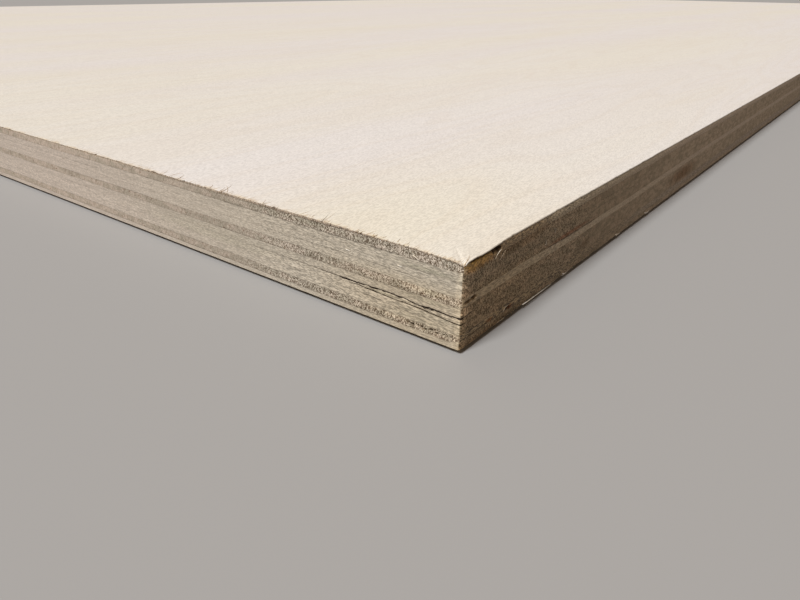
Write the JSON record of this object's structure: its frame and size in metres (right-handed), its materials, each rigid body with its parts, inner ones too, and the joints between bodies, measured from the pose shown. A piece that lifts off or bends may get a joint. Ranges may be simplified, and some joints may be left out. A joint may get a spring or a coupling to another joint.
{
  "type": "plywood sheet",
  "caption": "Full sheet of plywood lying flat, with a thin pale face veneer, banded veneer edges and a worn corner where a glue line has opened.",
  "frame": {"origin": "middle of the sheet's underside", "axes": "+X along the sheet's length, +Y across its width, +Z from the back veneer to the face veneer; the worn corner is at low X and low Y"},
  "size_m": [2.44, 1.22, 0.018],
  "materials": {
    "face": "sanded, unfinished",
    "crossband": "sawn edge, unfinished",
    "core": "sawn edge, unfinished",
    "back": "unfinished"
  },
  "bodies": {
    "root": {"back_veneer": "back", "lower_crossband": "crossband", "lower_core_bottom": "core", "lower_core_middle": "core", "lower_core_top": "core", "centre_crossband": "crossband", "upper_core_bottom": "core", "upper_core_middle": "core", "upper_core_top": "core", "upper_crossband": "crossband", "face_veneer": "face"}
  },
  "joints": []
}
